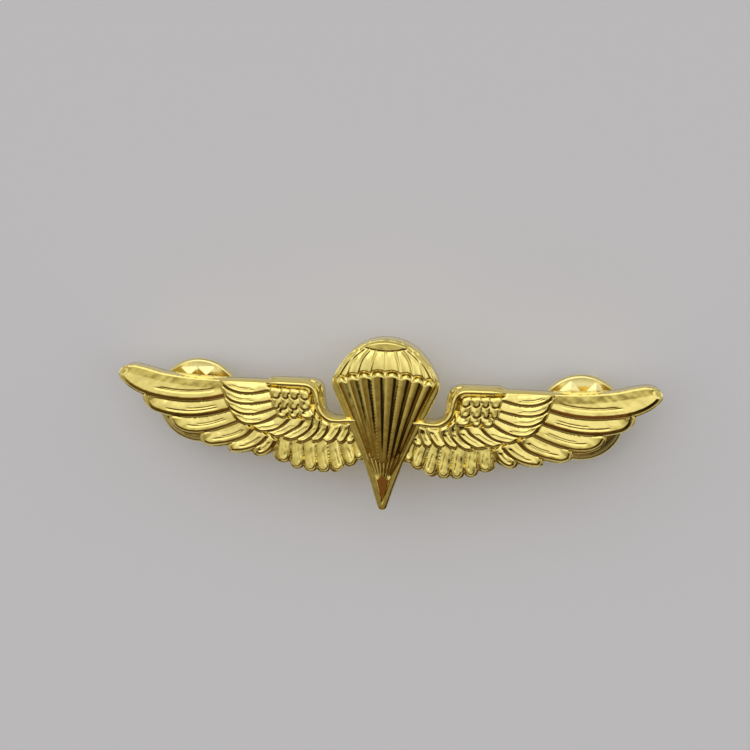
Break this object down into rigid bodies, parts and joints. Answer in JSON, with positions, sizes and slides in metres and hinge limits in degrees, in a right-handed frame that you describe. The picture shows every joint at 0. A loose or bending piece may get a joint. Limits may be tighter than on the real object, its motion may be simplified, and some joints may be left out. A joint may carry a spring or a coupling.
{
  "type": "parachutist wings badge",
  "caption": "Gold-plated metal badge of an open parachute between two feathered wings, with clutch posts on the back and butterfly clutches that squeeze, turn and pull off.",
  "frame": {"origin": "under the middle of the badge, on the surface that the clutches' finger wings rest on, with the badge lying face up", "axes": "+X along the wings to the viewer's right, +Y towards the canopy's top, +Z out of the badge's face"},
  "size_m": [0.07, 0.0226, 0.0119],
  "materials": {
    "gold_plate": "polished gold plating",
    "clutch_brass": "polished gold plating on stamped sheet",
    "solder": "soft solder, dull",
    "spring_steel": "bright spring wire"
  },
  "bodies": {
    "badge": {"badge_body": "gold_plate", "left_post": "gold_plate", "right_post": "gold_plate", "left_solder": "solder", "right_solder": "solder"},
    "left_slider": {"left_clutch_eyelet": "clutch_brass"},
    "left_clutch": {"left_clutch_base": "clutch_brass", "left_clutch_housing": "clutch_brass", "left_clutch_spring": "spring_steel"},
    "left_wing_a": {"left_clutch_wing_a": "clutch_brass"},
    "left_wing_b": {"left_clutch_wing_b": "clutch_brass"},
    "right_slider": {"right_clutch_eyelet": "clutch_brass"},
    "right_clutch": {"right_clutch_base": "clutch_brass", "right_clutch_housing": "clutch_brass", "right_clutch_spring": "spring_steel"},
    "right_wing_a": {"right_clutch_wing_a": "clutch_brass"},
    "right_wing_b": {"right_clutch_wing_b": "clutch_brass"}
  },
  "joints": [
    {"name": "left_clutch_slide", "type": "slide", "parent": "badge", "child": "left_slider", "axis": [0, 0, -1], "range_m": [0, 0.008]},
    {"name": "left_clutch_turn", "type": "hinge", "parent": "left_slider", "child": "left_clutch", "pos_m": [-0.0252, 0.00115, 0.00541], "axis": [0, 0, 1], "continuous": true},
    {"name": "left_wing_a_squeeze", "type": "hinge", "parent": "left_clutch", "child": "left_wing_a", "pos_m": [-0.02235, 0.0013, 0.00261], "axis": [-0.0523, 0.9986, 0], "range_deg": [0, 10], "stiffness_Nm_per_rad": 0.0001, "springref_deg": -20.05},
    {"name": "left_wing_b_squeeze", "type": "hinge", "parent": "left_clutch", "child": "left_wing_b", "pos_m": [-0.02805, 0.001, 0.00261], "axis": [0.0523, -0.9986, 0], "range_deg": [0, 10], "stiffness_Nm_per_rad": 0.0001, "springref_deg": -20.05},
    {"name": "right_clutch_slide", "type": "slide", "parent": "badge", "child": "right_slider", "axis": [0, 0, -1], "range_m": [0, 0.008]},
    {"name": "right_clutch_turn", "type": "hinge", "parent": "right_slider", "child": "right_clutch", "pos_m": [0.0252, 0.00115, 0.00541], "axis": [0, 0, 1], "continuous": true},
    {"name": "right_wing_a_squeeze", "type": "hinge", "parent": "right_clutch", "child": "right_wing_a", "pos_m": [0.02725, 0.00313, 0.00261], "axis": [-0.6947, 0.7193, 0], "range_deg": [0, 10], "stiffness_Nm_per_rad": 0.0001, "springref_deg": -20.05},
    {"name": "right_wing_b_squeeze", "type": "hinge", "parent": "right_clutch", "child": "right_wing_b", "pos_m": [0.02315, -0.00083, 0.00261], "axis": [0.6947, -0.7193, 0], "range_deg": [0, 10], "stiffness_Nm_per_rad": 0.0001, "springref_deg": -20.05}
  ],
  "couplings": [
    {"joint": "left_wing_b_squeeze", "follows": "left_wing_a_squeeze", "ratio": 1},
    {"joint": "right_wing_b_squeeze", "follows": "right_wing_a_squeeze", "ratio": 1}
  ]
}
